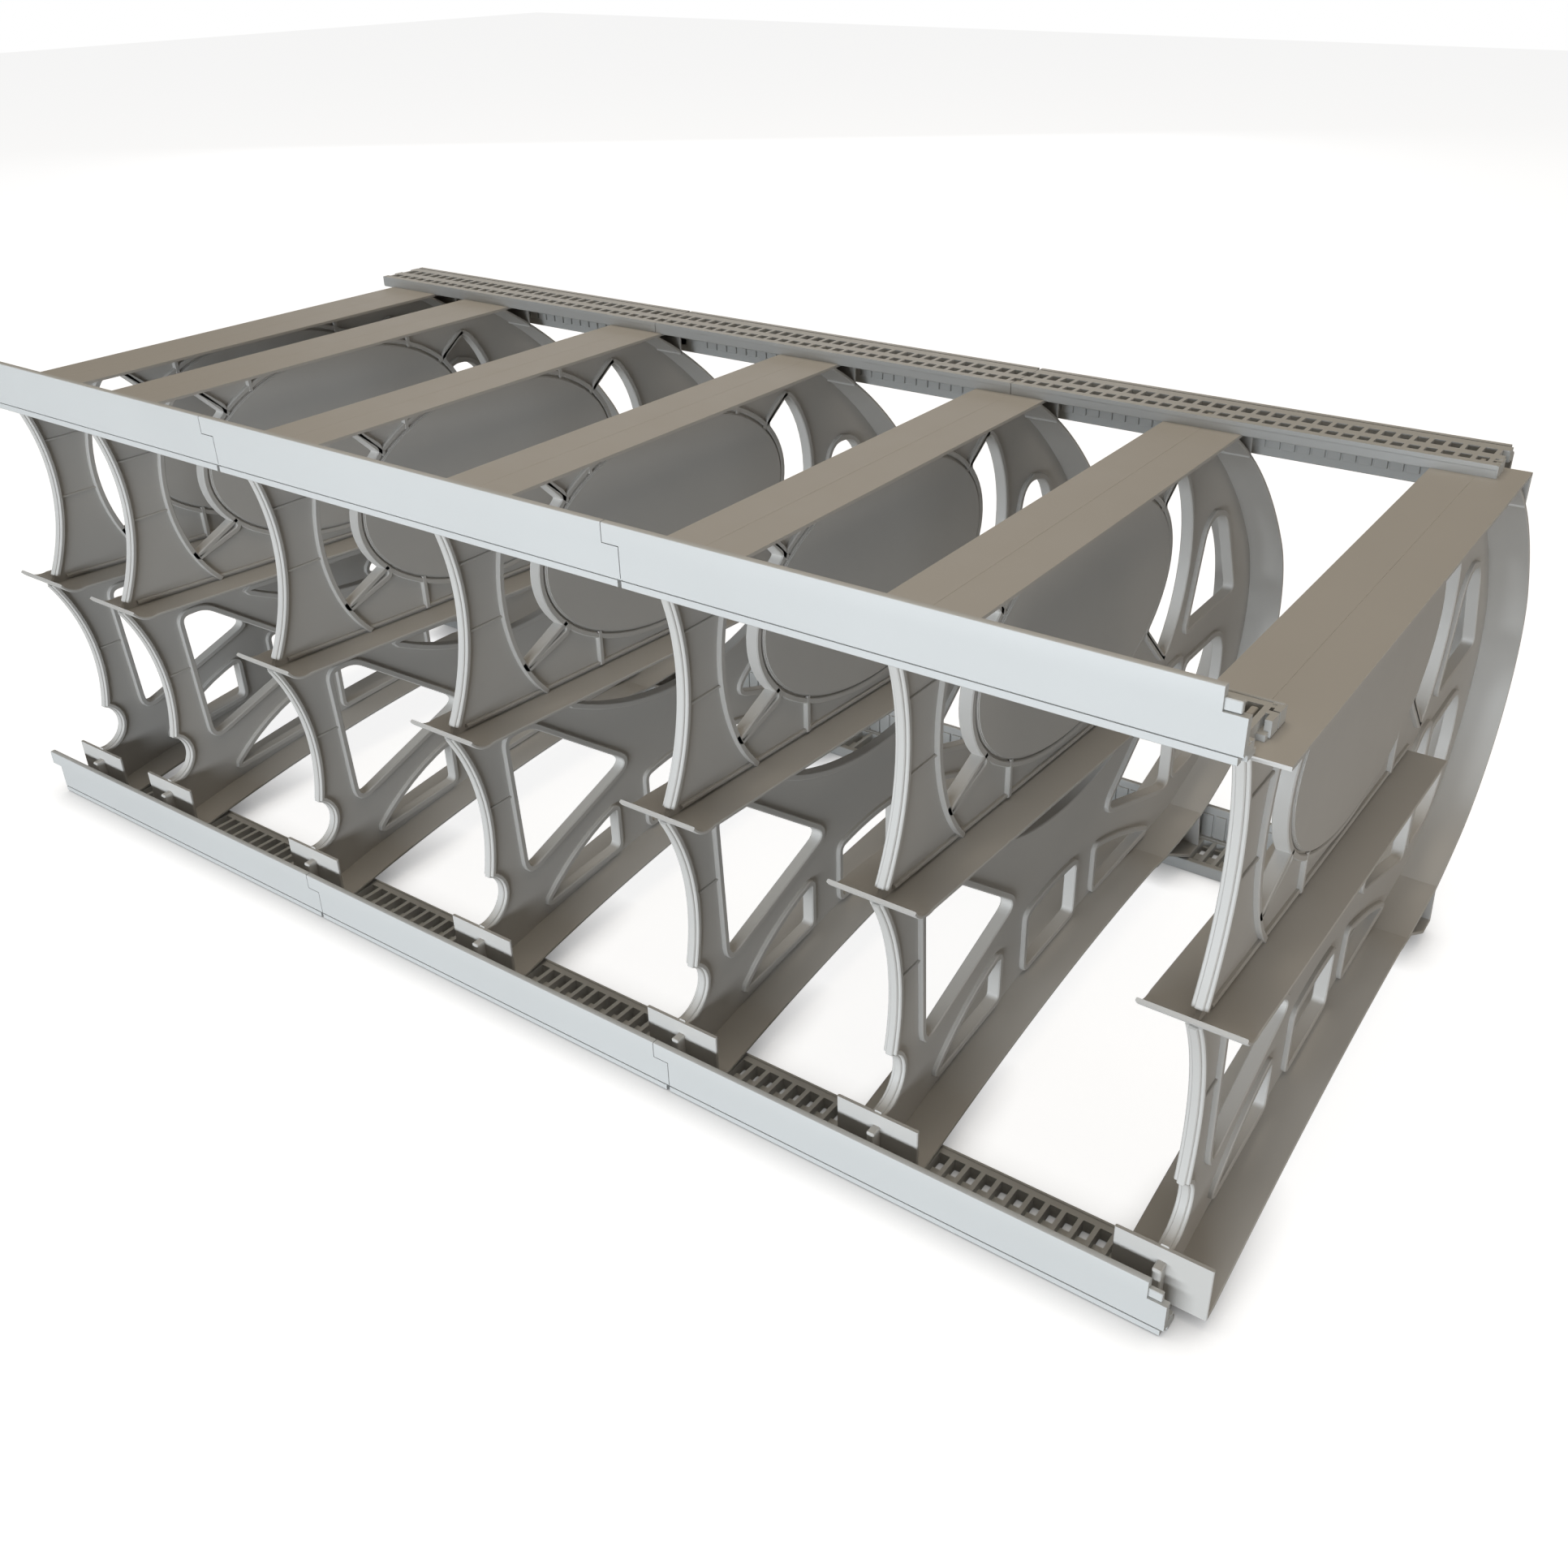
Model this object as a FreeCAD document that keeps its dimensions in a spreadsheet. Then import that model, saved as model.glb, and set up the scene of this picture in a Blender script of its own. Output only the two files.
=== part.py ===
import FreeCAD, Part
import math
import os

from FreeCAD import Placement, Rotation, Vector

# Gravity-feed rack for a fridge shelf: seven moulded divider walls stand
# between four long lattice rails, and each rail is three equal segments that
# hook end to end. X runs along the rails, Y from front to back, Z up, with
# lengths in millimetres. The origin is on the floor under the middle.

SIZES = [
    # lattice of the rails, and the pegs that drop into its slots
    ("slot_pitch", 7.6), ("slot_bar", 2.2), ("slot_front", 9.0), ("slot_back", 31.0),
    ("peg_depth", 5.6), ("peg_clearance", 0.2), ("peg_height", 5.0),
    # rail segment
    ("rail_height", 25.0), ("rail_depth", 35.5), ("face_thickness", 3.3),
    ("leg_thickness", 6.0), ("joint_pitches", 1.07), ("joint_level", 17.0),
    ("nub_length", 5.4), ("nub_height", 4.0), ("nub_setback", 1.0), ("nub_clearance", 0.2),
    ("groove_level", 3.0), ("groove_width", 0.7), ("groove_depth", 0.8), ("band_setback", 1.5),
    # divider wall
    ("wall_height", 247.0), ("wall_depth", 413.5), ("flange_width", 40.4),
    ("flange_thickness", 1.6), ("flange_front", 9.0),
    ("web_thickness", 4.0), ("oval_thickness", 6.0), ("oval_length", 190.0),
    ("oval_height", 105.0), ("flat_depth", 0.3),
    # where the lower and the back rails lie
    ("lower_rail_front", 4.5), ("rail_overhang", 17.0),
]

# slots along one segment, and how many of them each cell of the lattice spans
SLOTS = 32
CELL_SLOTS = 2
# slot numbers, counted from the left end, where the divider walls stand
WALL_SLOTS = [5, 14, 31, 48, 65, 79, 96]
SEGMENTS = ["left", "middle", "right"]
# the grid on which the wall's outline is drawn: its depth, foot and height,
# and where its top flange and its foot end
DRAWN_DEPTH = 413.5
DRAWN_FOOT = 6.0
DRAWN_HEIGHT = 247.0
DRAWN_END = 325.0

doc = FreeCAD.newDocument("can_rack")
sheet = doc.addObject("Spreadsheet::Sheet", "Sizes")
for row, (alias, value) in enumerate(SIZES, start=1):
    sheet.set(f"A{row}", alias)
    sheet.set(f"B{row}", str(value))
    sheet.setAlias(f"B{row}", alias)
doc.recompute()


def size(alias):
    """The value of one named size."""
    return float(getattr(sheet, alias))


def new_body(name):
    """A body with a label of its own."""
    body = doc.addObject("PartDesign::Body", name)
    body.Label = name
    return body


def as_geometry(edge):
    """The sketch geometry of a straight or round edge."""
    first, last = edge.ParameterRange
    start, end = edge.valueAt(first), edge.valueAt(last)
    if edge.Curve.TypeId == "Part::GeomLine":
        return Part.LineSegment(start, end)
    return Part.Arc(start, edge.valueAt((first + last) / 2), end)


def sketch(body, name, role, edges, shift=0.0):
    """A sketch on one of the body's own origin planes."""
    result = body.newObject("Sketcher::SketchObject", name)
    origin = next(f for f in body.Origin.OriginFeatures if f.Role == role)
    result.AttachmentSupport = [(origin, "")]
    result.MapMode = "FlatFace"
    result.AttachmentOffset = Placement(Vector(0, 0, shift), Rotation())
    result.addGeometry([as_geometry(edge) for edge in edges], False)
    return result


def pad(body, profile, name, length, symmetric=False):
    """A pad whose length is an expression over the sheet."""
    feature = body.newObject("PartDesign::Pad", name)
    feature.Profile = profile
    feature.SideType = "Symmetric" if symmetric else "One side"
    feature.setExpression("Length", length)
    return feature


def pocket(body, profile, name, length, reverse=False):
    """A pocket whose depth is an expression; it has to take material away."""
    before = body.Tip
    feature = body.newObject("PartDesign::Pocket", name)
    feature.Profile = profile
    feature.Reversed = reverse
    feature.setExpression("Length", length)
    doc.recompute()
    if feature.Shape.Volume >= before.Shape.Volume:
        raise RuntimeError(f"{name} cuts nothing")
    return feature


def line(a, b):
    """A straight edge between two points of a sketch plane."""
    return Part.LineSegment(Vector(*a, 0), Vector(*b, 0)).toShape()


def arc(a, mid, b):
    """A round edge through three points of a sketch plane."""
    return Part.Arc(Vector(*a, 0), Vector(*mid, 0), Vector(*b, 0)).toShape()


def box(x0, y0, x1, y1):
    """A rectangular face in a sketch plane."""
    return Part.Face(Part.makePolygon(
        [Vector(x0, y0, 0), Vector(x1, y0, 0), Vector(x1, y1, 0), Vector(x0, y1, 0), Vector(x0, y0, 0)]))


# Rail segment, drawn as it lies at the lower front: the face stands along
# y = 0 and the slotted leg runs back from its foot.

def rail_segment(name):
    """One moulded rail segment, with its stepped ends and slotted leg."""
    body = new_body(name)
    run = f"Sizes.slot_pitch * {SLOTS}"
    length = size("slot_pitch") * SLOTS
    face, leg = size("face_thickness"), size("leg_thickness")
    level, top = size("joint_level"), size("rail_height")
    shift = size("joint_pitches") * size("slot_pitch")
    lower = box(0, 0, face, level).fuse(box(face, 0, size("rail_depth"), leg)).removeSplitter()
    pad(body, sketch(body, "lower_profile", "YZ_Plane", lower.Edges, shift), "lower_part", run)
    upper = box(0, level, face, top)
    pad(body, sketch(body, "upper_profile", "YZ_Plane", upper.Edges), "upper_part", run)
    join_nub(body, length)
    face_groove(body, length, shift)
    cell_row(body)
    return body


def join_nub(body, length):
    """The nub in the stepped right end, and the notch for it in the left end."""
    level, high = size("joint_level"), size("nub_height")
    near, far, gap = size("nub_setback"), size("face_thickness"), size("nub_clearance")
    nub = box(near, level, far, level + high)
    pad(body, sketch(body, "nub_profile", "YZ_Plane", nub.Edges, length), "nub", "Sizes.nub_length")
    notch = box(near - gap, level, far, level + high + gap)
    pocket(body, sketch(body, "notch_profile", "YZ_Plane", notch.Edges), "notch",
           "Sizes.nub_length + Sizes.nub_clearance", reverse=True)


def face_groove(body, length, shift):
    """The shadow groove above the lower band, which stops short of the end."""
    low = size("groove_level")
    groove = box(shift, low, shift + length - size("band_setback"), low + size("groove_width"))
    end = box(shift + length - size("band_setback"), 0, shift + length, low + size("groove_width"))
    profile = groove.fuse(end).removeSplitter()
    pocket(body, sketch(body, "groove_profile", "XZ_Plane", profile.Edges), "groove",
           "Sizes.groove_depth", reverse=False)


def cell_row(body):
    """The cells of the leg; the first and the last run out through its ends."""
    cell = CELL_SLOTS * size("slot_pitch")
    start = -(size("slot_pitch") - size("slot_bar")) / 2
    first = box(start, size("slot_front"), start + cell - size("slot_bar"), size("slot_back"))
    cut = pocket(body, sketch(body, "cell_profile", "XY_Plane", first.Edges), "cell",
                 "Sizes.leg_thickness", reverse=True)
    pattern = body.newObject("PartDesign::LinearPattern", "cells")
    pattern.Originals = [cut]
    pattern.Direction = (next(f for f in body.Origin.OriginFeatures if f.Role == "X_Axis"), [""])
    pattern.Occurrences = SLOTS // CELL_SLOTS + 1
    pattern.setExpression("Length", f"Sizes.slot_pitch * {SLOTS}")
    body.Tip = pattern


# Divider wall, drawn from the side. The web, the flanges across its edges and
# the raised oval are one moulding, padded from the middle plane. It repeats
# seven times, so its curves are drawn as flats and its openings have square
# corners.

def spot(y, z):
    """A drawn point of the wall, moved with its depth and height."""
    rise = (z - DRAWN_FOOT) * size("wall_height") / DRAWN_HEIGHT
    return y * size("wall_depth") / DRAWN_DEPTH, size("leg_thickness") + rise


def flats(a, mid, b):
    """The arc through three points as flats, none deeper than flat_depth."""
    curve = arc(a, mid, b)
    first, last = curve.ParameterRange
    count = math.ceil((last - first) / (2 * math.acos(1 - size("flat_depth") / curve.Curve.Radius)))
    ends = [curve.valueAt(first + (last - first) * i / count) for i in range(count + 1)]
    return [line((ends[i].x, ends[i].y), (ends[i + 1].x, ends[i + 1].y)) for i in range(count)]


def path(*legs):
    """A wire of drawn points: two points are a line, three a curve."""
    edges = []
    for leg in legs:
        points = [spot(*point) for point in leg]
        edges += flats(*points) if len(points) == 3 else [line(*points)]
    return Part.Wire(edges)


def area(*legs):
    """The face inside a closed path."""
    return Part.Face(path(*legs))


def strip(wire, thickness):
    """The face between an open path and its offset."""
    return wire.makeOffset2D(thickness, 2, True, True)


def corners(*points):
    """A straight-sided opening through the drawn points."""
    return area(*[(start, points[(i + 1) % len(points)]) for i, start in enumerate(points)])


def oval():
    """The raised panel: four tangent arcs, close to an ellipse."""
    long, tall = size("oval_length") / 2, size("oval_height") / 2
    small = 0.69 * tall
    reach = long - small
    rest = tall - small
    drop = (reach ** 2 - rest ** 2) / (2 * rest)
    large = tall + drop
    aim = math.atan2(drop, reach)
    y0, z0 = spot(178, 198)

    def turn(side, up):
        return (y0 + side * (reach + small * math.cos(aim)), z0 + up * small * math.sin(aim))

    edges = (flats(turn(-1, 1), (y0, z0 - drop + large), turn(1, 1))
             + flats(turn(1, 1), (y0 + long, z0), turn(1, -1))
             + flats(turn(1, -1), (y0, z0 + drop - large), turn(-1, -1))
             + flats(turn(-1, -1), (y0 - long, z0), turn(-1, 1)))
    return Part.Face(Part.Wire(edges))


UPPER_FRONT = ((19, 252.2), (30.8, 200), (17, 147))
LOWER_FRONT = ((13.5, 141), (28.3, 86), (25, 58.5))
SCOOP = ((25, 58.5), (32.4, 45), (17.2, 33.2))
UNDERSIDE = ((24, 6), (130, 21.8), (256, 28))
LOWER_BACK = ((357, 38.4), (413.5, 118.1), (396.1, 169.6))
UPPER_BACK = ((396.1, 169.6), (354.9, 214.9), (303.2, 252.2))


def web_outline():
    """The whole silhouette of the wall."""
    return area(
        (UPPER_BACK[2], UPPER_FRONT[0]), UPPER_FRONT, (UPPER_FRONT[2], LOWER_FRONT[0]), LOWER_FRONT,
        SCOOP, (SCOOP[2], (16, 32.5)), ((16, 32.5), (16, 6)), ((16, 6), UNDERSIDE[0]), UNDERSIDE,
        (UNDERSIDE[2], (277, 25.5)), ((277, 25.5), (311, 6)), ((311, 6), (325, 6)), ((325, 6), (320, 26)),
        ((320, 26), (320, 38.4)), ((320, 38.4), LOWER_BACK[0]), LOWER_BACK, UPPER_BACK)


def windows():
    """The openings that lighten the web; the first three lie round the oval."""
    return [
        corners((66, 158), (59, 178), (57, 198), (59, 218), (66, 238), (76, 250), (85, 250),
                (101, 231), (86, 219), (79, 205), (79, 191), (86, 177), (94, 170)),
        corners((283, 138), (297, 168), (301, 198), (297, 218), (281, 240), (258, 224),
                (270, 219), (277, 205), (277, 191), (270, 177), (257, 165)),
        corners((118, 141), (236, 135.2), (236, 151), (208, 144), (178, 141.5), (148, 144), (118, 153)),
        corners((311, 142.5), (324, 196), (340, 203), (352, 196), (378, 142.5)),
        corners((47, 127), (62, 127), (128, 77), (50.5, 50)),
        corners((309, 127), (294, 127), (228, 77), (309, 50)),
        corners((315, 52), (315, 121), (366, 121), (376, 97), (370, 68), (352, 52)),
        corners((92, 127), (262, 119), (224, 107.5), (178, 103), (130, 110)),
        corners((62, 23), (117, 27.5), (117, 52), (88, 41)),
        corners((144, 29), (194, 31.5), (194, 61), (144, 59)),
        corners((218, 32), (283, 33), (252, 46.5), (218, 57)),
    ]


def flange_profiles():
    """The strips across the wall, by name: they carry the load and meet the rails."""
    wall = size("flange_thickness")
    lower = path(
        ((16, 32.5), (16, 6)), ((16, 6), UNDERSIDE[0]), UNDERSIDE, (UNDERSIDE[2], (277, 25.5)),
        ((277, 25.5), (311, 6)), ((311, 6), (325, 6)), ((325, 6), (320, 26)), ((320, 26), (320, 38.4)),
        ((320, 38.4), LOWER_BACK[0]), LOWER_BACK, UPPER_BACK)
    shelf = path(((11, 147.5), (15, 143.2), (24, 142.2)), ((24, 142.2), (270, 130)))
    end, top = spot(DRAWN_END, DRAWN_FOOT + DRAWN_HEIGHT)
    return {
        "track": strip(lower, -wall),
        "shelf": strip(shelf, wall),
        "roof": box(size("flange_front"), top - wall, end, top),
        "hanger": box(end - wall, spot(0, 236.5)[1], end, top - wall),
    }


def pegs(body):
    """The four pegs that drop into the rails' slots."""
    half_x = (size("slot_pitch") - size("slot_bar")) / 2 - size("peg_clearance")
    deep, gap = size("peg_depth"), size("peg_clearance")
    foot = size("leg_thickness")
    top = foot + size("wall_height")
    # the back rails lie the other way round, so their slots start further in
    back = spot(DRAWN_END, 0)[0] + size("rail_overhang") - size("slot_back") + gap
    front = size("lower_rail_front") + size("slot_back") - gap - deep
    low = foot - size("peg_height")
    places = [
        ("peg_top_front", size("slot_back") - gap - deep, top, "Sizes.peg_height"),
        ("peg_top_back", back, top, "Sizes.peg_height"),
        ("peg_foot_front", front, low, "Sizes.peg_height + 2 * Sizes.flange_thickness"),
        ("peg_foot_back", back, low, "Sizes.peg_height + Sizes.flange_thickness"),
    ]
    for name, y, level, high in places:
        face = box(-half_x, y, half_x, y + deep)
        pad(body, sketch(body, name + "_profile", "XY_Plane", face.Edges, level), name, high)


def divider_wall(name):
    """One moulded divider wall."""
    body = new_body(name)
    panel = oval()
    web = web_outline().cut(Part.makeCompound(windows()))
    pad(body, sketch(body, "web_profile", "YZ_Plane", web.Edges), "web", "Sizes.web_thickness", True)
    for label, face in flange_profiles().items():
        pad(body, sketch(body, label + "_profile", "YZ_Plane", face.Edges), label, "Sizes.flange_width", True)
    pad(body, sketch(body, "oval_profile", "YZ_Plane", panel.Edges), "oval", "Sizes.oval_thickness", True)
    pegs(body)
    return body


# Assembly: every piece is a copy of one of the two mouldings, set in its place.

def place(node, master, x, y, z, rotation=Rotation()):
    """A copy of a moulding, moved by expressions over the sheet."""
    copy = new_body(node)
    copy.BaseFeature = master
    copy.Placement = Placement(Vector(), rotation)
    copy.setExpression("Placement.Base.x", x)
    copy.setExpression("Placement.Base.y", y)
    copy.setExpression("Placement.Base.z", z)
    return copy


def assemble(wall, rail):
    """All the divider walls and rail segments of the rack."""
    left = f"-(Sizes.slot_pitch * {WALL_SLOTS[-1]} + Sizes.flange_width / 2) / 2"
    front = "-Sizes.wall_depth / 2"
    back = f"Sizes.wall_depth * ({DRAWN_END} / {DRAWN_DEPTH} - 0.5) + Sizes.rail_overhang"
    pieces = [place(f"divider_wall_{i}", wall, f"{left} + Sizes.slot_pitch * {slot}", front, "0")
              for i, slot in enumerate(WALL_SLOTS, start=1)]
    top = "Sizes.leg_thickness + Sizes.wall_height"
    over = Rotation(Vector(1, 0, 0), 180)
    about = Rotation(Vector(0, 0, 1), 180)
    # the turned rail's slots have to meet the same grid, two slots further on
    last = SLOTS * len(SEGMENTS) + 2
    for i, part in enumerate(SEGMENTS):
        along = f"{left} + Sizes.slot_pitch * {SLOTS * i}"
        turned = f"{left} + Sizes.slot_pitch * {last - SLOTS * (len(SEGMENTS) - 1 - i)}"
        pieces += [
            place(f"top_front_rail_{part}", rail, along, front, top),
            place(f"bottom_front_rail_{part}", rail, along, front + " + Sizes.lower_rail_front", "0"),
            place(f"top_back_rail_{part}", rail, along, back, top + " + Sizes.leg_thickness", over),
            place(f"bottom_back_rail_{part}", rail, turned, back, "0", about),
        ]
    return pieces


def check_and_write(pieces):
    """Stop on any broken object, then write one file for each piece."""
    for item in doc.Objects:
        if "Invalid" in item.State or "Error" in item.State:
            raise RuntimeError(f"{item.Name} did not recompute: {item.State}")
    for piece in pieces:
        if piece.Shape.isNull() or not piece.Shape.isValid() or len(piece.Shape.Solids) != 1:
            raise RuntimeError(f"{piece.Label} is not one valid solid")
    os.makedirs("parts", exist_ok=True)
    for piece in pieces:
        piece.Shape.exportStep(f"parts/{piece.Label}.step")


rack = assemble(divider_wall("divider_wall_moulding"), rail_segment("rail_segment_moulding"))
doc.recompute()
check_and_write(rack)
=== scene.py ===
"""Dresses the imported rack: moulded divider walls, lattice rails, plastic, light and camera.

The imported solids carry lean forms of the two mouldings. This script replaces them, in
the same frame, with the same mouldings at full detail: thin webs with beads round every
edge and opening, ribs, rounded flanges, and rails with every slot of their lattice.
All drawing is in millimetres and becomes metres where a mesh is written.
"""

import logging
import math
from dataclasses import dataclass, field
from enum import Enum

import bmesh
import bpy
from mathutils import Euler, Matrix, Quaternion, Vector

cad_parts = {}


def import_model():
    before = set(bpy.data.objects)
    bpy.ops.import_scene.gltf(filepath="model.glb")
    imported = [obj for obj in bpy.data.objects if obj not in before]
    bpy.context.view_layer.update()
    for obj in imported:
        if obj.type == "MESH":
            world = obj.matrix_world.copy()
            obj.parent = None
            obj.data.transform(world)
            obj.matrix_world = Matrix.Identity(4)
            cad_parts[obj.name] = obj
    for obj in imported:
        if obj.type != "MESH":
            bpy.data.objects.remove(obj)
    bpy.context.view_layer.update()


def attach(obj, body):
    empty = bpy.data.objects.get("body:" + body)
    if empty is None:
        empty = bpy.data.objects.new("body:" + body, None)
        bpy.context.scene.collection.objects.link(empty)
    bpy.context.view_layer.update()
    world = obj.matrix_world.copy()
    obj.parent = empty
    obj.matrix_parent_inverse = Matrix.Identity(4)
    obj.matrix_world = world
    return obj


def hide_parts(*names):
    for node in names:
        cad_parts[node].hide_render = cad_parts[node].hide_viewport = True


Point = tuple[float, float]
Place = tuple[float, float, float]
MM = 0.001
SAME_PLACE = 0.001  # points nearer than this are one point, in millimetres
WELD = 1e-6  # vertices nearer than this are one vertex, in metres
SMOOTH_BELOW = math.radians(32)  # faces that meet at less than this look like one surface
log = logging.getLogger("rack")

# Sizes shared with the solids, in millimetres
PITCH = 7.6
SLOTS = 32
SLOT_BAR = 2.2
SLOT_FRONT, SLOT_BACK = 9.0, 31.0
RAIL_HEIGHT, RAIL_DEPTH = 25.0, 35.5
FACE, LEG = 3.3, 6.0
STEP_SHIFT, STEP_LEVEL = 8.132, 17.0
WALL_TOP = 253.0
WALL_DEPTH = 413.5
FLANGE_HALF = 20.2
FLANGE = 1.6
WALL_SLOTS = (5, 14, 31, 48, 65, 79, 96)
SEGMENTS = ("left", "middle", "right")
TURNED_END = len(SEGMENTS) * SLOTS + 2
LOWER_RAIL_FRONT = 4.5
LEFT = -(PITCH * WALL_SLOTS[-1] + FLANGE_HALF) / 2
FRONT = -WALL_DEPTH / 2
BACK_RAIL = FRONT + 342.0


class Turn(Enum):
    """How a piece is turned from the way it is drawn, in radians about x and z."""

    NONE = (0.0, 0.0)
    OVER = (math.pi, 0.0)
    ABOUT = (0.0, math.pi)


@dataclass(frozen=True)
class Finish:
    """A moulded plastic.

    Attributes:
        colour: base colour, linear.
        shade: the colour the mottling drifts to.
        roughness: mean roughness of the surface.
        grain: size of the fine texture, in millimetres.
        relief: height of the fine texture, in millimetres.
    """

    colour: tuple[float, float, float]
    shade: tuple[float, float, float]
    roughness: float
    grain: float
    relief: float


# The walls are the same light grey plastic as the rails; the walls' darker, warmer tint is painted warm
# shade.
WALL_PLASTIC_SHADE_WARMED = Finish((0.525, 0.508, 0.480), (0.485, 0.468, 0.440), 0.50, 0.7, 0.03)
RAIL_PLASTIC = Finish((0.540, 0.540, 0.525), (0.500, 0.500, 0.485), 0.46, 0.7, 0.025)
FLOOR_GREY = (0.45, 0.45, 0.45, 1)
FLOOR_GLOW = 0.86
FLOOR_PAINTED_SHADOW_REACH = 0.02  # how far from a foot the floor's glow is darkened as a painted shadow, in metres
FILL_LIGHT = 0.12


# Drawing in the plane


def arc(a: Point, mid: Point, b: Point, count: int = 12) -> list[Point]:
    """Points on the arc through three points.

    Args:
        a: first point.
        mid: a point between the ends.
        b: last point.
        count: number of spans.

    Returns:
        The points, both ends among them.
    """
    ax, ay = a[0] - b[0], a[1] - b[1]
    mx, my = mid[0] - b[0], mid[1] - b[1]
    cross = 2 * (ax * my - ay * mx)
    a2, m2 = ax * ax + ay * ay, mx * mx + my * my
    cx = b[0] + (my * a2 - ay * m2) / cross
    cy = b[1] + (ax * m2 - mx * a2) / cross
    radius = math.dist((cx, cy), a)
    start = math.atan2(a[1] - cy, a[0] - cx)
    turn = math.tau if cross > 0 else -math.tau
    sweep = (math.atan2(b[1] - cy, b[0] - cx) - start) % turn
    steps = [start + sweep * i / count for i in range(count + 1)]
    return [(cx + radius * math.cos(t), cy + radius * math.sin(t)) for t in steps]


def ellipse(centre: Point, radii: Point, first: float, last: float, count: int) -> list[Point]:
    """Points along part of an ellipse.

    Args:
        centre: its middle.
        radii: half its width and half its height.
        first: first angle, in degrees.
        last: last angle, in degrees.
        count: number of spans.

    Returns:
        The points, both ends among them.
    """
    angles = [math.radians(first + (last - first) * i / count) for i in range(count + 1)]
    return [(centre[0] + radii[0] * math.cos(t), centre[1] + radii[1] * math.sin(t)) for t in angles]


def lerp(a: Point, b: Point, t: float) -> Point:
    """The point at share t of the way from a to b."""
    return (a[0] + (b[0] - a[0]) * t, a[1] + (b[1] - a[1]) * t)


def soften(loop: list[Point], cuts: dict[Point, float], steps: int = 6) -> list[Point]:
    """Rounds the named corners of a closed loop.

    Args:
        loop: the corners and curve points in order.
        cuts: how far from each named corner its rounding starts.
        steps: spans of each rounding.

    Returns:
        The loop with its named corners rounded.
    """
    count = len(loop)
    lengths = [math.dist(loop[i], loop[(i + 1) % count]) for i in range(count)]
    places = [sum(lengths[:i]) for i in range(count)]
    total = sum(lengths)

    def at(place: float) -> Point:
        place %= total
        index = max(i for i in range(count) if places[i] <= place)
        share = (place - places[index]) / lengths[index]
        return lerp(loop[index], loop[(index + 1) % count], share)

    def hidden(place: float) -> bool:
        return any(
            abs((place - places[loop.index(corner)] + total / 2) % total - total / 2) < cut
            for corner, cut in cuts.items()
        )

    out = [(places[i], loop[i]) for i in range(count) if not hidden(places[i])]
    for corner, cut in cuts.items():
        middle = places[loop.index(corner)]
        a, b = at(middle - cut), at(middle + cut)
        for i in range(steps + 1):
            t = i / steps
            point = lerp(lerp(a, corner, t), lerp(corner, b, t), t)
            out.append(((middle + cut * (2 * t - 1)) % total, point))
    return [point for _, point in sorted(out)]


def rounded(corners: list[tuple[float, float, float]]) -> list[Point]:
    """A straight-sided loop; each corner is y, z and how far off it is rounded."""
    loop = [(y, z) for y, z, _ in corners]
    return soften(loop, {(y, z): cut for y, z, cut in corners})


# Solid work


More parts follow.
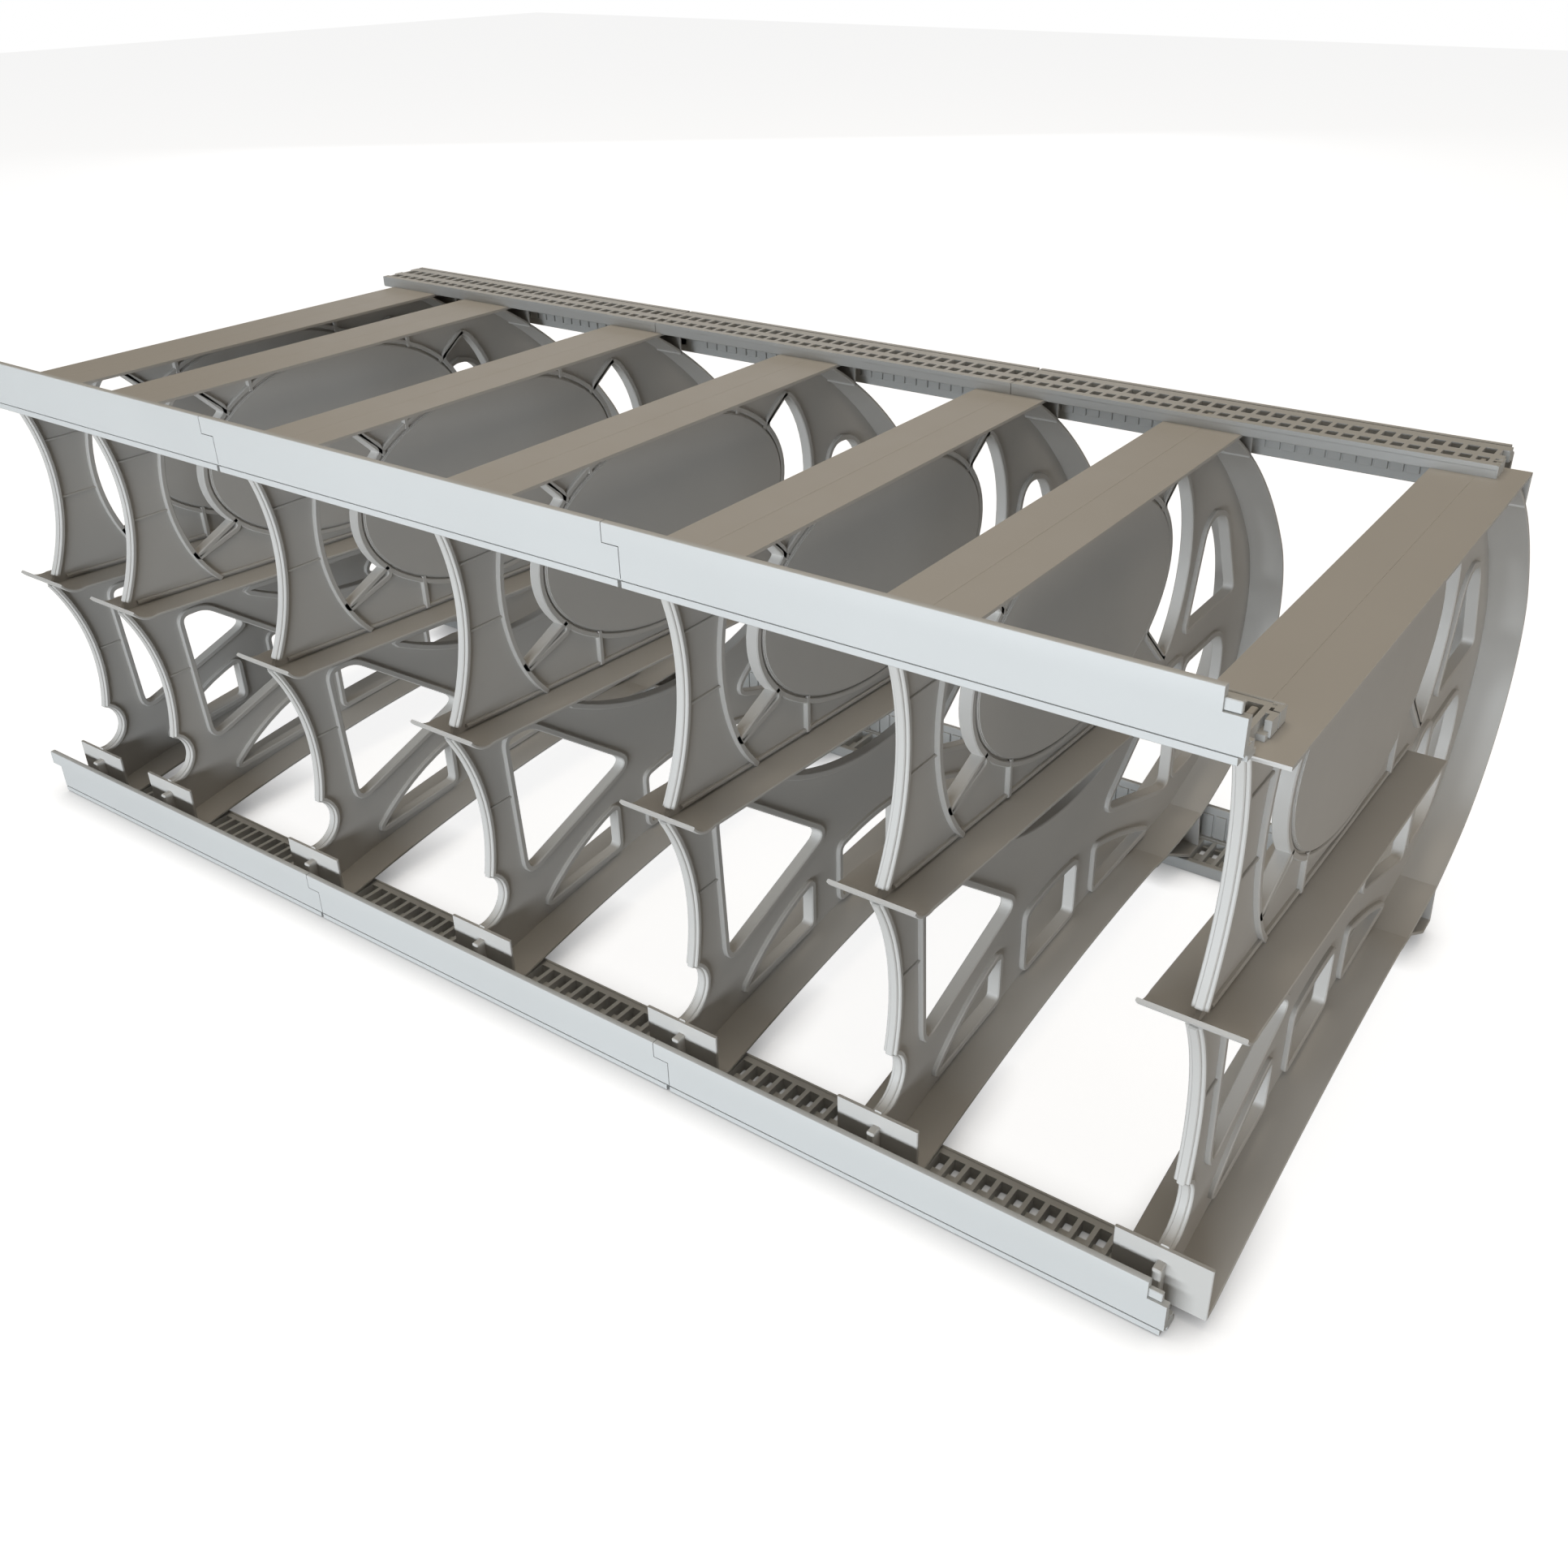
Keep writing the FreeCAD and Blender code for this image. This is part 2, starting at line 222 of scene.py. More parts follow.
@dataclass
class Moulding:
    """One mesh under construction; x runs across the drawing plane.

    Attributes:
        name: name of the mesh.
        mesh: the bmesh that the shapes are added to.
    """

    name: str
    mesh: bmesh.types.BMesh = field(default_factory=bmesh.new)

    def corner(self, x: float, y: float, z: float) -> bmesh.types.BMVert:
        """Adds a vertex given in millimetres."""
        return self.mesh.verts.new((x * MM, y * MM, z * MM))

    def plate(self, loops: list[list[Point]], low: float, high: float, flat: bool = False) -> None:
        """A plate with holes.

        Args:
            loops: the outline, then the holes.
            low: where the plate starts across the drawing plane.
            high: where it ends.
            flat: True for a plate drawn in x and y, False for one in y and z.
        """
        edges = []
        for loop in loops:
            kept = [a for a, b in zip(loop, loop[1:] + loop[:1]) if math.dist(a, b) > SAME_PLACE]
            ring = [self.corner(y, z, low) if flat else self.corner(low, y, z) for y, z in kept]
            edges += [self.mesh.edges.new(pair) for pair in zip(ring, ring[1:] + ring[:1])]
        sheet = bmesh.ops.triangle_fill(self.mesh, edges=edges, use_beauty=True)["geom"]
        faces = [part for part in sheet if isinstance(part, bmesh.types.BMFace)]
        grown = bmesh.ops.extrude_face_region(self.mesh, geom=faces, use_keep_orig=True)["geom"]
        across = Vector((0, 0, high - low)) if flat else Vector((high - low, 0, 0))
        verts = [part for part in grown if isinstance(part, bmesh.types.BMVert)]
        bmesh.ops.translate(self.mesh, verts=verts, vec=across * MM)

    def sweep(self, path: list[Point], half: float, inner: float, outer: float,
              closed: bool = False, edge: float = 0.4, across: float = 0.0) -> None:
        """A strip or bead along a path in the y-z plane.

        Args:
            path: the points of the path.
            half: half the width across the plane.
            inner: where the strip starts, along the path's left-hand normal.
            outer: where it ends.
            closed: True to join the ends.
            edge: size of the rounded edges.
            across: middle of the strip across the plane.
        """
        section = [(-half + edge, inner), (half - edge, inner), (half, inner + edge), (half, outer - edge),
                   (half - edge, outer), (edge - half, outer), (-half, outer - edge), (-half, inner + edge)]
        befores = [path[-1] if closed else None, *path[:-1]]
        afters = [*path[1:], path[0] if closed else None]
        rings = []
        for before, point, after in zip(befores, path, afters):
            normal = self.mitre(before, point, after)
            rings.append([Vector((across + x, point[0] + normal[0] * out, point[1] + normal[1] * out)) * MM
                          for x, out in section])
        end = self.mesh.faces.new([self.mesh.verts.new(place) for place in rings[0]])
        inside = [end] if closed else []
        for ring in rings[1:] + rings[:1] if closed else rings[1:]:
            grown = bmesh.ops.extrude_face_region(self.mesh, geom=[end])["geom"]
            end = next(part for part in grown if isinstance(part, bmesh.types.BMFace))
            for vert, place in zip(end.verts, ring):
                vert.co = place
            inside.append(end)
        bmesh.ops.delete(self.mesh, geom=inside if closed else inside[:-1], context="FACES_ONLY")

    @staticmethod
    def mitre(before: Point | None, point: Point, after: Point | None) -> Point:
        """The left-hand normal at a point of a path, lengthened in its corners."""
        normals = []
        for a, b in ((before, point), (point, after)):
            if a is not None and b is not None:
                length = math.dist(a, b) or 1.0
                normals.append((-(b[1] - a[1]) / length, (b[0] - a[0]) / length))
        x = sum(n[0] for n in normals) / len(normals)
        y = sum(n[1] for n in normals) / len(normals)
        scale = min(1 / max(x * x + y * y, 1e-6), 2.5)
        return (x * scale, y * scale)

    def block(self, low: Place, high: Place, edge: float = 0.3) -> None:
        """A small rectangular feature with rounded edges, such as a peg or a panel."""
        made = bmesh.ops.create_cube(self.mesh, size=1.0)["verts"]
        for vert in made:
            for axis in range(3):
                vert.co[axis] = (high[axis] if vert.co[axis] > 0 else low[axis]) * MM
        edges = list({e for vert in made for e in vert.link_edges})
        bmesh.ops.bevel(self.mesh, geom=edges, offset=edge * MM, segments=1, affect="EDGES")

    def finished(self) -> bpy.types.Mesh:
        """Writes the mesh, smooth where its faces meet at a shallow angle."""
        bmesh.ops.remove_doubles(self.mesh, verts=self.mesh.verts, dist=WELD)
        bmesh.ops.recalc_face_normals(self.mesh, faces=self.mesh.faces)
        data = bpy.data.meshes.new(self.name)
        self.mesh.to_mesh(data)
        self.mesh.free()
        data.shade_smooth()
        data.set_sharp_from_angle(angle=SMOOTH_BELOW)
        return data


# Divider wall

UPPER_FRONT = arc((19, 252.2), (30.8, 200), (17, 147), 24)
LOWER_FRONT = arc((13.5, 141), (28.3, 86), (25, 58.5), 18)
SCOOP = arc((25, 58.5), (32.4, 45), (17.2, 33.2), 14)
UNDERSIDE = arc((24, 6), (130, 21.8), (256, 28), 20)
REAR_FOOT = [(277, 25.5), (311, 6), (325, 6), (320.6, 27.6)]
ROLL = arc((320.6, 27.6), (338.9, 32.5), (357, 38.4), 8)
FOOT_BRIDGE = arc((262, 26.4), (294, 26.5), (326, 28.3), 8)
LOWER_BACK = arc((357, 38.4), (413.5, 118.1), (396.1, 169.6), 32)
UPPER_BACK = arc((396.1, 169.6), (354.9, 214.9), (303.2, 252.2), 16)
TRACK = [(16, 32.5), (16, 6)] + UNDERSIDE + REAR_FOOT + ROLL[1:] + LOWER_BACK[1:] + UPPER_BACK[1:]
SHELF = [(24, 142.2), (270, 130)]
OVAL_CENTRE, OVAL_RADII = (178.0, 198.0), (95.0, 52.5)


@dataclass
class DividerWall:
    """The moulded divider wall, drawn from the side in y and z.

    Attributes:
        web: half the thickness of the plain web.
        bead: half the width of the beads, and of the ribs.
        rim: how thick a bead is in the plane.
        panel: half the thickness of the oval panel at its middle.
    """

    web: float = 1.0
    bead: float = 3.2
    rim: float = 3.0
    panel: float = 3.7

    def outline(self) -> list[Point]:
        """The silhouette of the web."""
        return UPPER_FRONT + LOWER_FRONT + SCOOP[1:] + TRACK

    def windows(self) -> list[list[Point]]:
        """The openings of the web."""
        margin = (OVAL_RADII[0] + 4, OVAL_RADII[1] + 4)
        front = arc((66, 158), (56.5, 198), (66, 238), 16)
        crescent = front + [(74, 248.4), (84, 248.4)] + ellipse(OVAL_CENTRE, margin, 141, 213, 18)
        rear = arc((283, 138), (303, 198), (281, 240), 16)
        leaf = rear + ellipse(OVAL_CENTRE, margin, 31, -38, 16)
        lens = [(92, 127)] + arc((262, 119), (178, 103), (94, 126.5), 20)
        low_front = arc((117, 52), (88, 41), (62, 23), 6) + [(117, 27.5)]
        low_middle = [(144, 29), (194, 31.5)] + arc((194, 61), (170, 61.8), (144, 59), 6)
        low_rear = arc((283, 33), (252, 46.5), (218, 57), 6) + [(218, 32)]
        arch = [(311, 142.5, 4), (326, 198, 10), (350, 198, 14), (378, 142.5, 6)]
        wide_front = [(47, 127, 5), (62, 127, 6), (130, 75.5, 10), (50.5, 48, 8)]
        wide_rear = [(309, 127, 5), (309, 48, 8), (226, 75.5, 10), (294, 127, 6)]
        tail = [(315, 52, 6), (315, 121, 6), (368, 121, 14), (376, 88, 22), (352, 52, 16)]
        return [
            soften(crescent, {front[0]: 1.5, front[-1]: 5, (74, 248.4): 4, (84, 248.4): 4,
                              crescent[-1]: 4, crescent[19]: 4}),
            soften(leaf, {rear[0]: 5, rear[-1]: 6, leaf[17]: 4, leaf[-1]: 4}),
            *(rounded(corners) for corners in (arch, wide_front, wide_rear, tail)),
            soften(lens, {(92, 127): 3, lens[1]: 3}),
            soften(low_front, {low_front[0]: 3, low_front[6]: 2, (117, 27.5): 3}),
            soften(low_middle, {(144, 29): 3, (194, 31.5): 3, low_middle[2]: 3, low_middle[-1]: 3}),
            soften(low_rear, {low_rear[0]: 2, low_rear[6]: 3, (218, 32): 3}),
        ]

    def mould(self) -> bpy.types.Mesh:
        """Builds the whole wall about its own middle plane."""
        work = Moulding("divider_wall")
        windows = self.windows()
        work.plate([self.inset(self.outline(), 0.8), *windows], -self.web, self.web)
        for window in windows:
            inner, outer = (-0.3, self.rim) if self.turns_left(window) else (-self.rim, 0.3)
            work.sweep(window, self.bead, inner, outer, closed=True, edge=0.5)
        self.add_front_edge(work)
        self.add_panel(work)
        self.add_ribs(work)
        self.add_flanges(work)
        self.add_pegs(work)
        return work.finished()

    @staticmethod
    def inset(loop: list[Point], depth: float) -> list[Point]:
        """The loop moved in, so that the web ends inside the flanges round it."""
        out = []
        for i, point in enumerate(loop):
            normal = Moulding.mitre(loop[i - 1], point, loop[(i + 1) % len(loop)])
            out.append((point[0] + normal[0] * depth, point[1] + normal[1] * depth))
        return out

    @staticmethod
    def turns_left(loop: list[Point]) -> bool:
        """True if the left-hand normals of a loop point out of it."""
        doubled = sum(a[0] * b[1] - b[0] * a[1] for a, b in zip(loop, loop[1:] + loop[:1]))
        return doubled < 0

    def add_front_edge(self, work: Moulding) -> None:
        """The wide bead down the front, in three curves."""
        upper = UPPER_FRONT[::-1]
        lower = (LOWER_FRONT + SCOOP[1:])[::-1]
        for curve in (upper, lower):
            work.sweep(curve, self.bead, -3.0, -0.7, edge=0.4)
            work.sweep(curve, self.bead - 1.5, -2.4, 0.2, edge=0.4)

    def add_panel(self, work: Moulding) -> None:
        """The raised oval panel with its bead."""
        loop = ellipse(OVAL_CENTRE, OVAL_RADII, 0, 360, 96)[:-1]
        for inset, half in ((0.0, self.panel - 0.9), (0.3, self.panel - 0.35), (0.9, self.panel)):
            radii = (OVAL_RADII[0] - inset, OVAL_RADII[1] - inset)
            work.plate([ellipse(OVAL_CENTRE, radii, 0, 360, 96)[:-1]], -half, half)
        under = [point for point in loop[30:] + loop[:30] if point[1] < WALL_TOP - 5.5]
        work.sweep(under, self.bead - 1.3, -3.0, 0.3, edge=0.4)
        work.sweep(under, self.bead - 0.1, -4.0, -1.1, edge=0.5)

    def add_ribs(self, work: Moulding) -> None:
        """The spokes at the oval and the short ribs of the web."""
        spokes = [((85, 249), (103, 231)), ((66, 158), (94, 171)), ((257, 224), (281, 240)),
                  ((256, 163), (283, 138)), ((116.5, 139), (116.5, 158)), ((238, 134), (238, 160)),
                  ((120, 240), (120, 251.5)), ((236, 240), (236, 251.5))]
        for a, b in spokes:
            work.sweep([a, b], self.bead, -self.rim / 2, self.rim / 2, edge=0.5)
        work.sweep(arc((61.75, 160), (67.9, 148.9), (75.8, 139.4), 8), self.bead, 0, self.rim, edge=0.5)
        work.sweep(SHELF, self.web + 1.7, 1.3, 3.1, edge=0.5)
        for a, b in (((33, 189), (57.5, 189)), ((30.5, 222), (61, 222)), ((31.5, 95), (48, 95))):
            work.sweep([a, b], self.web + 1.1, -0.6, 0.6, edge=0.3)

    def add_flanges(self, work: Moulding) -> None:
        """The wide flanges: roof, hanging plate, shelf, and the track with its front plate."""
        for side in (-0.5, 0.5):
            work.sweep([(9, WALL_TOP), (325, WALL_TOP)], FLANGE_HALF / 2, -FLANGE, 0, edge=0.12,
                       across=side * FLANGE_HALF)
        work.sweep([(323.6, 252), (323.6, 236.5)], FLANGE_HALF, 0.0, 1.4, edge=0.3)
        lip = arc((11, 147.5), (15.5, 143.4), SHELF[0], 8)
        work.sweep(lip + SHELF[1:], FLANGE_HALF, -FLANGE, 0, edge=0.35)
        work.sweep(TRACK, FLANGE_HALF, 0, FLANGE, edge=0.35)
        work.sweep(FOOT_BRIDGE, FLANGE_HALF - 0.1, 0, FLANGE, edge=0.35)

    def add_pegs(self, work: Moulding) -> None:
        """The pegs that drop into the rails, and the small tab at the foot of the front plate."""
        pegs = ((25.2, 252.0, 258.0), (311.2, 252.0, 258.0), (29.7, 1.0, 8.0), (311.2, 1.0, 7.5))
        for y, low, high in pegs:
            work.block((-2.5, y, low), (2.5, y + 5.6, high - 2.6))
            work.block((-1.2, y, low), (1.2, y + 5.6, high))
        work.block((-1.9, 10.8, 6.2), (1.9, 16.4, 26.0), edge=0.5)
        work.block((-4.2, 8.2, 6.2), (4.2, 12.5, 13.0), edge=0.5)


# Rail segment


@dataclass
class RailSegment:
    """The moulded rail segment as it lies at the lower front.

    Attributes:
        hooked: True for the hooks that stand out of the last segment's leg.
        length: run of the segment along x.
        seam: how far each end stays back from its neighbour.
    """

    hooked: bool
    length: float = PITCH * SLOTS
    seam: float = 0.2

    def mould(self) -> bpy.types.Mesh:
        """Builds the segment in its own corner frame."""
        work = Moulding("rail_segment_end" if self.hooked else "rail_segment")
        self.add_face(work)
        self.add_leg(work)
        self.add_joint(work)
        self.add_panels(work)
        if self.hooked:
            self.add_hooks(work)
        return work.finished()

    def add_face(self, work: Moulding) -> None:
        """The face plate: rounded top edge, stepped ends, and a shadow groove low down."""
        start, end = STEP_SHIFT + self.seam, STEP_SHIFT + self.length - self.seam
        upper = [(0.0, STEP_LEVEL), (0.0, RAIL_HEIGHT - 0.7), (0.2, RAIL_HEIGHT - 0.2), (0.7, RAIL_HEIGHT),
                 (FACE - 0.5, RAIL_HEIGHT), (FACE, RAIL_HEIGHT - 0.5), (FACE, STEP_LEVEL)]
        lower = [(0.0, 3.7), (0.0, STEP_LEVEL), (FACE, STEP_LEVEL), (FACE, 3.0), (0.8, 3.0), (0.8, 3.7)]
        band = [(0.4, 0.0), (0.0, 0.4), (0.0, 3.0), (FACE, 3.0), (FACE, 0.0)]
        work.plate([upper], self.seam, self.length - self.seam)
        tongue = [(y, z - 0.35 if z == STEP_LEVEL else z) for y, z in lower]
        work.plate([lower], start, self.length - self.seam)
        work.plate([tongue], self.length - self.seam, end)
        work.plate([band], start, end - 1.5)

    def lattice(self, painted_shadow: float, rows: list[Point]) -> list[list[Point]]:
        """The loops of a layer of the leg.

        Args:
            painted_shadow: where the layer starts behind the face.
            rows: where each row of slots starts and ends, from front to back.

        Returns:
            The outline, with the slots that run out through its ends, then the closed slots.
        """
        start, end = STEP_SHIFT + self.seam, STEP_SHIFT + self.length - self.seam
        half = (PITCH - SLOT_BAR) / 2
        left, right = PITCH + half, PITCH * (SLOTS + 1) - half
        outline = [(start, painted_shadow), (end, painted_shadow)]
        for low, high in rows:
            outline += [(end, low), (right, low), (right, high), (end, high)]
        outline += [(end, RAIL_DEPTH), (start, RAIL_DEPTH)]
        for low, high in reversed(rows):
            outline += [(start, high), (left, high), (left, low), (start, low)]
        slots = [
            rounded([(n * PITCH - half, low, 0.5), (n * PITCH + half, low, 0.5),
                     (n * PITCH + half, high, 0.5), (n * PITCH - half, high, 0.5)])
            for n in range(2, SLOTS + 1) for low, high in rows
        ]
        return [outline, *slots]

    def add_leg(self, work: Moulding) -> None:
        """The leg with every slot cut through, and the low bar that splits them into two rows."""
        start, end = STEP_SHIFT + self.seam, STEP_SHIFT + self.length - self.seam
        work.plate(self.lattice(FACE - 0.2, [(SLOT_FRONT, SLOT_BACK)]), 2.2, LEG, flat=True)
        work.plate(self.lattice(FACE + 1.1, [(SLOT_FRONT + 2, 19.0), (25.2, SLOT_BACK)]), 0.0, 2.3, flat=True)
        work.block((start, RAIL_DEPTH - 1.4, LEG - 0.2), (end, RAIL_DEPTH, LEG + 0.5))
        work.block((start, 6.2, LEG - 0.3), (end, 7.0, LEG + 0.3), edge=0.1)

    def add_joint(self, work: Moulding) -> None:
        """The nub in the stepped end."""
        work.block((self.length - 0.4, 1.0, STEP_LEVEL - 0.2), (self.length + 5.4, FACE, STEP_LEVEL + 4.0))

    def add_panels(self, work: Moulding) -> None:
        """The row of shallow panels on the inner side of the face, a slot's pitch apart."""
        for n in range(2, SLOTS):
            work.block((n * PITCH + 0.55, FACE - 0.2, LEG - 0.3),
                       ((n + 1) * PITCH - 0.55, FACE + 1.2, RAIL_HEIGHT - 4.5), edge=0.2)

    def add_hooks(self, work: Moulding) -> None:
        """Two open hooks on the last bar of the leg."""
        bar, end = PITCH * (SLOTS + 1) - (PITCH - SLOT_BAR) / 2, STEP_SHIFT + self.length + 0.5
        for back in (28.2, 35.3):
            hook = [(bar - 0.3, back), (bar - 0.3, back - 2.2), (end - 2.4, back - 2.2),
                    (end - 2.4, back - 6.4), (end, back - 6.4), (end, back)]
            work.plate([hook], 0.3, LEG + 0.2, flat=True)


# Materials, assembly, light and camera


def moulded_plastic(name: str, finish: Finish) -> bpy.types.Material:
    """A fine-textured plastic with a faint mottling.

    Args:
        name: name of the material.
        finish: its colours and texture.

    Returns:
        The material.
    """
    material = bpy.data.materials.new(name)
    material.use_nodes = True
    nodes, links = material.node_tree.nodes, material.node_tree.links
    shader = nodes["Principled BSDF"]
    place = nodes.new("ShaderNodeTexCoord")
    cloud = nodes.new("ShaderNodeTexNoise")
    cloud.inputs["Scale"].default_value = 9.0
    cloud.inputs["Detail"].default_value = 4.0
    blend = nodes.new("ShaderNodeMix")
    blend.data_type = "RGBA"
    blend.inputs["A"].default_value = (*finish.colour, 1)
    blend.inputs["B"].default_value = (*finish.shade, 1)
    grain = nodes.new("ShaderNodeTexNoise")
    grain.inputs["Scale"].default_value = 1 / (finish.grain * MM)
    grain.inputs["Detail"].default_value = 2.0
    flow = nodes.new("ShaderNodeTexNoise")
    flow.inputs["Scale"].default_value = 60.0
    rough = nodes.new("ShaderNodeMapRange")
    rough.inputs["To Min"].default_value = finish.roughness - 0.06
    rough.inputs["To Max"].default_value = finish.roughness + 0.08
    bump = nodes.new("ShaderNodeBump")
    bump.inputs["Strength"].default_value = 0.35
    bump.inputs["Distance"].default_value = finish.relief * MM
    for texture in (cloud, grain, flow):
        links.new(place.outputs["Object"], texture.inputs["Vector"])
    links.new(cloud.outputs["Fac"], blend.inputs["Factor"])
    links.new(blend.outputs["Result"], shader.inputs["Base Color"])
    links.new(flow.outputs["Fac"], rough.inputs["Value"])
    links.new(rough.outputs["Result"], shader.inputs["Roughness"])
    links.new(grain.outputs["Fac"], bump.inputs["Height"])
    links.new(bump.outputs["Normal"], shader.inputs["Normal"])
    shader.inputs["Specular IOR Level"].default_value = 0.35
    return material


@dataclass
class Rack:
    """The dressed rack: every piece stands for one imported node.

    Attributes:
        walls: material of the divider walls.
        rails: material of the rails.
    """

    walls: bpy.types.Material
    rails: bpy.types.Material

    def piece(self, node: str, data: bpy.types.Mesh, place: Place, turn: Turn) -> None:
        """Adds a copy of a moulding, set in the place of its node."""
        data = data.copy()
        about = Euler((turn.value[0], 0.0, turn.value[1])).to_matrix().to_4x4()
        data.transform(Matrix.Translation(Vector(place) * MM) @ about)
        piece = bpy.data.objects.new(f"{node}_moulded", data)
        bpy.context.collection.objects.link(piece)
        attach(piece, "root")
        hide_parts(node)

    def assemble(self) -> None:
        """Builds the mouldings once and sets them in all their places."""
        wall = DividerWall().mould()
        wall.materials.append(self.walls)
        for number, slot in enumerate(WALL_SLOTS, start=1):
            self.piece(f"divider_wall_{number}", wall, (LEFT + PITCH * slot, FRONT, 0.0), Turn.NONE)
        inner, end = RailSegment(False).mould(), RailSegment(True).mould()
        for data in (inner, end):
            data.materials.append(self.rails)
        run = PITCH * SLOTS
        for number, part in enumerate(SEGMENTS):
            data = end if part == "right" else inner
            along = LEFT + run * number
            self.piece(f"top_front_rail_{part}", data, (along, FRONT, WALL_TOP), Turn.NONE)
            self.piece(f"bottom_front_rail_{part}", inner, (along, FRONT + LOWER_RAIL_FRONT, 0.0), Turn.NONE)
            self.piece(f"top_back_rail_{part}", data, (along, BACK_RAIL, WALL_TOP + LEG), Turn.OVER)
            turned = LEFT + PITCH * TURNED_END - run * (len(SEGMENTS) - 1 - number)
            self.piece(f"bottom_back_rail_{part}", inner, (turned, BACK_RAIL, 0.0), Turn.ABOUT)


@dataclass(frozen=True)
class AreaLight:
    """A soft studio light.

    Attributes:
        name: name of the light.
        place: where it stands, in metres.
        target: the point it looks at.
        size: width and height of its panel.
        power: in watts.
        colour: its tint.
    """

    name: str
    place: Place
    target: Place
    size: tuple[float, float]
    power: float
    colour: tuple[float, float, float]

    def add(self) -> None:
        """Puts the light in the scene."""
        data = bpy.data.lights.new(self.name, "AREA")
        data.shape, (data.size, data.size_y) = "RECTANGLE", self.size
        data.energy, data.color = self.power, self.colour
        lamp = bpy.data.objects.new(self.name, data)
        bpy.context.collection.objects.link(lamp)
        lamp.location = self.place
        aim = Vector(self.target) - Vector(self.place)
        lamp.rotation_mode = "QUATERNION"
        lamp.rotation_quaternion = aim.to_track_quat("-Z", "Y")


LIGHTS = (
    AreaLight("key", (0.18, -2.40, 0.26), (0.0, 0.0, 0.20), (2.6, 0.44), 72.0, (0.86, 0.93, 1.0)),
    AreaLight("top", (0.0, 0.2, 2.6), (0.0, 0.0, 0.1), (2.4, 2.4), 30.0, (1.0, 0.88, 0.71)),
    AreaLight("side", (2.4, 0.2, 0.5), (0.0, 0.0, 0.1), (1.8, 0.8), 8.0, (1.0, 0.92, 0.82)),
    AreaLight("rear", (-1.8, 2.3, 0.75), (0.0, 0.0, 0.12), (2.2, 1.2), 9.0, (0.96, 0.97, 1.0)),
)


def add_floor() -> None:
    """A plain pale floor that fades into the white background; its glow holds a painted shadow near the rack.
    """
    mesh = bmesh.new()
    bmesh.ops.create_grid(mesh, x_segments=1, y_segments=1, size=6.0)
    data = bpy.data.meshes.new("floor")
    mesh.to_mesh(data)
    mesh.free()
    floor = bpy.data.objects.new("floor", data)
    bpy.context.collection.objects.link(floor)
    floor.location.z = -0.0005
    material = bpy.data.materials.new("floor_paint")
    material.use_nodes = True
    nodes, links = material.node_tree.nodes, material.node_tree.links
    nodes.clear()
    bounce, seen = nodes.new("ShaderNodeBsdfDiffuse"), nodes.new("ShaderNodeBsdfDiffuse")
    glow = nodes.new("ShaderNodeEmission")
    bounce.inputs["Color"].default_value = FLOOR_GREY
    seen.inputs["Color"].default_value = FLOOR_GREY
    # Painted shadow: ambient occlusion darkens the floor's glow under and around the rack, and in the rails'
    # slots.
    painted_shadow = nodes.new("ShaderNodeAmbientOcclusion")
    painted_shadow.inputs["Distance"].default_value = FLOOR_PAINTED_SHADOW_REACH
    links.new(painted_shadow.outputs["Color"], glow.inputs["Color"])
    glow.inputs["Strength"].default_value = FLOOR_GLOW
    both, pick = nodes.new("ShaderNodeAddShader"), nodes.new("ShaderNodeMixShader")
    path, out = nodes.new("ShaderNodeLightPath"), nodes.new("ShaderNodeOutputMaterial")
    links.new(seen.outputs["BSDF"], both.inputs[0])
    links.new(glow.outputs["Emission"], both.inputs[1])
    links.new(path.outputs["Is Camera Ray"], pick.inputs["Fac"])
    links.new(bounce.outputs["BSDF"], pick.inputs[1])
    links.new(both.outputs["Shader"], pick.inputs[2])
    links.new(pick.outputs["Shader"], out.inputs["Surface"])
    data.materials.append(material)


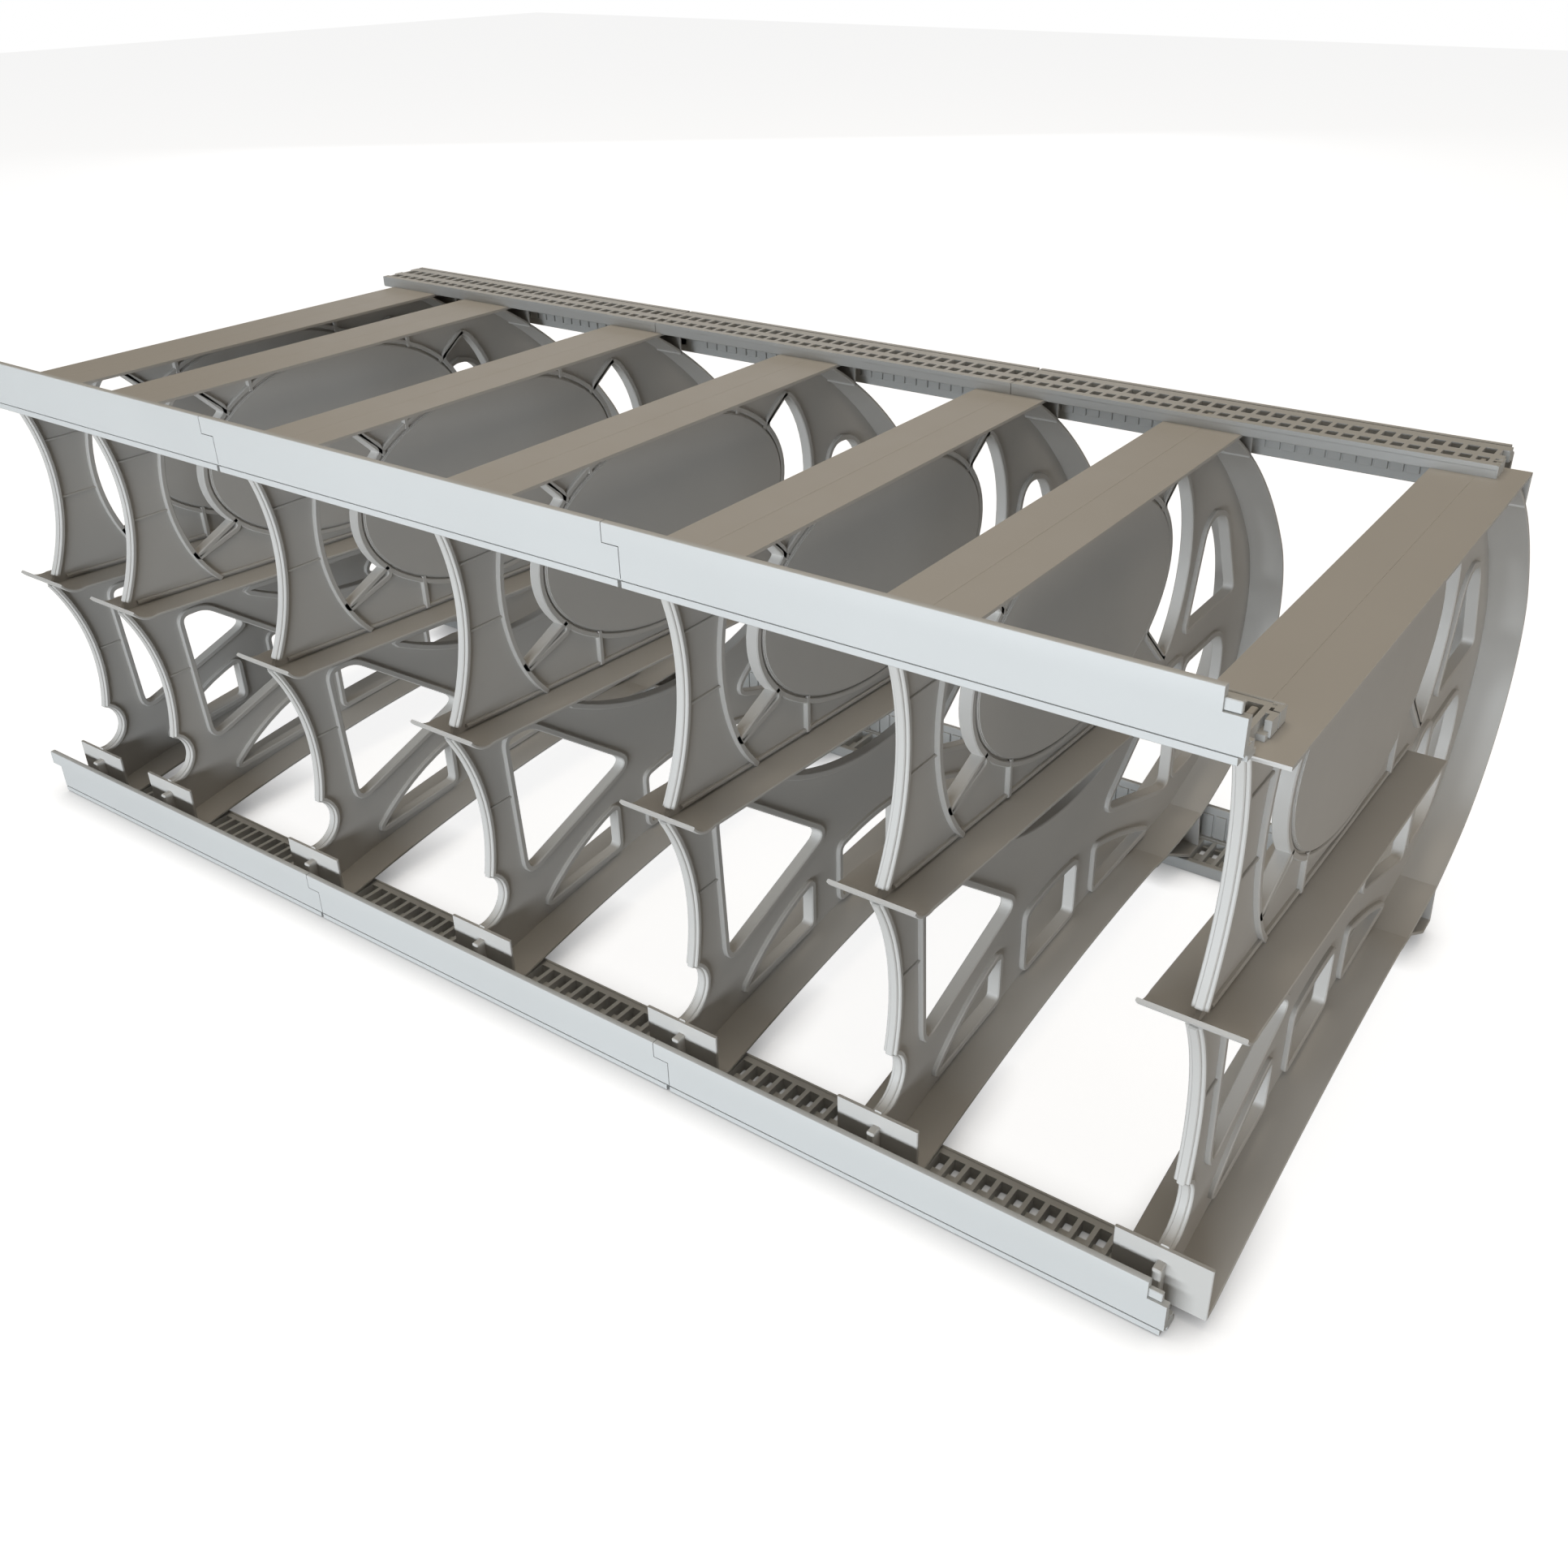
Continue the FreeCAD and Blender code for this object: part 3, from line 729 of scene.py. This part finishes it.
def light_world() -> None:
    """Soft fill from all round, and plain white where the camera sees past the floor."""
    world = bpy.data.worlds.new("studio")
    bpy.context.scene.world = world
    world.use_nodes = True
    nodes, links = world.node_tree.nodes, world.node_tree.links
    nodes.clear()
    fill, white = nodes.new("ShaderNodeBackground"), nodes.new("ShaderNodeBackground")
    fill.inputs["Color"].default_value = (1.0, 0.96, 0.91, 1)
    fill.inputs["Strength"].default_value = FILL_LIGHT
    white.inputs["Color"].default_value = (1, 1, 1, 1)
    path, mix = nodes.new("ShaderNodeLightPath"), nodes.new("ShaderNodeMixShader")
    out = nodes.new("ShaderNodeOutputWorld")
    links.new(path.outputs["Is Camera Ray"], mix.inputs["Fac"])
    links.new(fill.outputs["Background"], mix.inputs[1])
    links.new(white.outputs["Background"], mix.inputs[2])
    links.new(mix.outputs["Shader"], out.inputs["Surface"])
    for light in LIGHTS:
        light.add()


@dataclass(frozen=True)
class PhotoCamera:
    """The photograph's camera, fitted to the rack's edges.

    Attributes:
        place: position in metres.
        yaw: turn to the left of +Y, in degrees.
        pitch: aim below the horizon, in degrees.
        roll: turn about the line of sight, in degrees.
        lens: focal length for a 36 mm sensor.
        shift: of the frame, to the right and up.
    """

    place: Place
    yaw: float
    pitch: float
    roll: float
    lens: float
    shift: tuple[float, float]

    def add(self) -> None:
        """Makes the camera and gives it to the scene."""
        data = bpy.data.cameras.new("photo")
        data.lens, data.sensor_width = self.lens, 36.0
        data.shift_x, data.shift_y = self.shift
        camera = bpy.data.objects.new("photo", data)
        bpy.context.collection.objects.link(camera)
        camera.location = self.place
        yaw, pitch = math.radians(self.yaw), math.radians(self.pitch)
        aim = Vector((-math.sin(yaw) * math.cos(pitch), math.cos(yaw) * math.cos(pitch), math.sin(pitch)))
        camera.rotation_mode = "QUATERNION"
        roll = Quaternion((0, 0, 1), math.radians(self.roll))
        camera.rotation_quaternion = aim.to_track_quat("-Z", "Y") @ roll
        data.clip_start, data.clip_end = 0.05, 50.0
        bpy.context.scene.camera = camera


CAMERA = PhotoCamera((0.47888, -0.58812, 0.47575), 34.549, -28.990, -0.472, 34.18, (-0.0318, -0.0307))


def main() -> None:
    """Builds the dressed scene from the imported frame."""
    logging.basicConfig(level=logging.INFO, format="%(name)s: %(message)s")
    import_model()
    walls = moulded_plastic("wall_plastic_fine_shade_warmed", WALL_PLASTIC_SHADE_WARMED)
    rails = moulded_plastic("rail_plastic_fine", RAIL_PLASTIC)
    Rack(walls, rails).assemble()
    add_floor()
    light_world()
    CAMERA.add()
    bpy.context.scene.view_settings.view_transform = "Standard"


if __name__ == "__main__":
    main()
